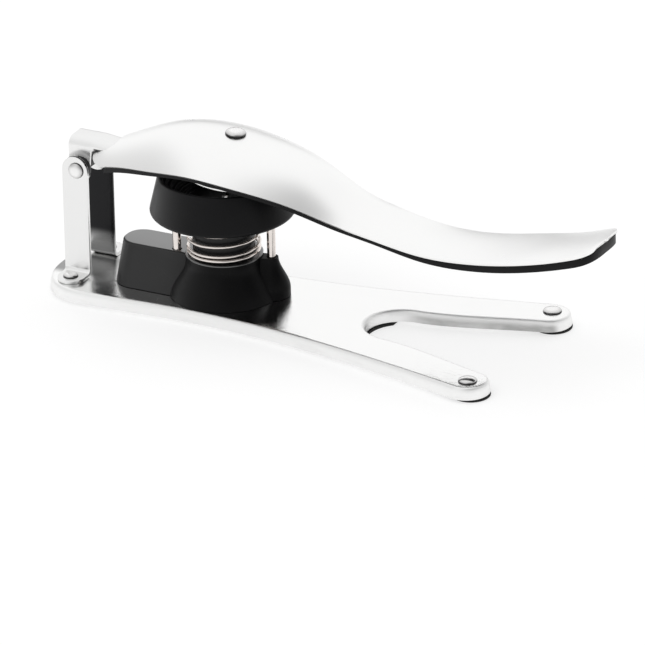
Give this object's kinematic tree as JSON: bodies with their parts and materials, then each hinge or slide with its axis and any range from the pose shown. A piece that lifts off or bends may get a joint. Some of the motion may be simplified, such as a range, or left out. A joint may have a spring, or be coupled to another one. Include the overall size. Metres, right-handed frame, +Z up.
{
  "type": "chestnut cutter",
  "caption": "Hand press for scoring chestnuts: a hinged steel lever pushes a spring-backed black cup down over a cross of blades on a forked steel base.",
  "frame": {"origin": "on the table, under the middle of the overall length and width", "axes": "+X from the hinge to the lever's tip, +Y to the far side, +Z up"},
  "size_m": [0.2322, 0.0856, 0.0736],
  "materials": {
    "brushed_stainless": "brushed",
    "polished_steel": "polished",
    "black_plastic": "satin",
    "black_rubber": "matte"
  },
  "bodies": {
    "base": {"base_plate": "brushed_stainless", "near_upright": "brushed_stainless", "far_upright": "brushed_stainless", "near_flange_rivet": "polished_steel", "far_flange_rivet": "polished_steel", "near_tip_rivet": "polished_steel", "far_tip_rivet": "polished_steel", "pivot_pin": "polished_steel", "near_hinge_bush": "black_plastic", "far_hinge_bush": "black_plastic", "lower_housing": "black_plastic", "blade_holder": "black_plastic", "long_blade": "polished_steel", "cross_blade": "polished_steel", "rear_housing_screw": "polished_steel", "front_holder_screw": "polished_steel", "back_holder_screw": "polished_steel", "near_tip_foot": "black_rubber", "far_tip_foot": "black_rubber", "crotch_foot": "black_rubber", "rear_foot": "black_rubber", "return_spring": "polished_steel"},
    "lever": {"hinge_saddle": "brushed_stainless", "lever_shell": "brushed_stainless", "lever_liner": "black_plastic", "press_head": "black_plastic", "press_plate": "polished_steel", "lever_rivet": "polished_steel"},
    "cup": {"cup": "black_plastic", "rear_guide_pin": "polished_steel", "front_guide_pin": "polished_steel"}
  },
  "joints": [
    {"name": "lever_hinge", "type": "hinge", "parent": "base", "child": "lever", "pos_m": [-0.1024, 0, 0.0489], "axis": [0, -1, 0], "range_deg": [0, 75]},
    {"name": "cup_slide", "type": "slide", "parent": "base", "child": "cup", "axis": [0, 0, 1], "range_m": [-0.008, 0], "stiffness_N_per_m": 400, "springref_m": 0.01, "deforming": ["return_spring"]}
  ]
}
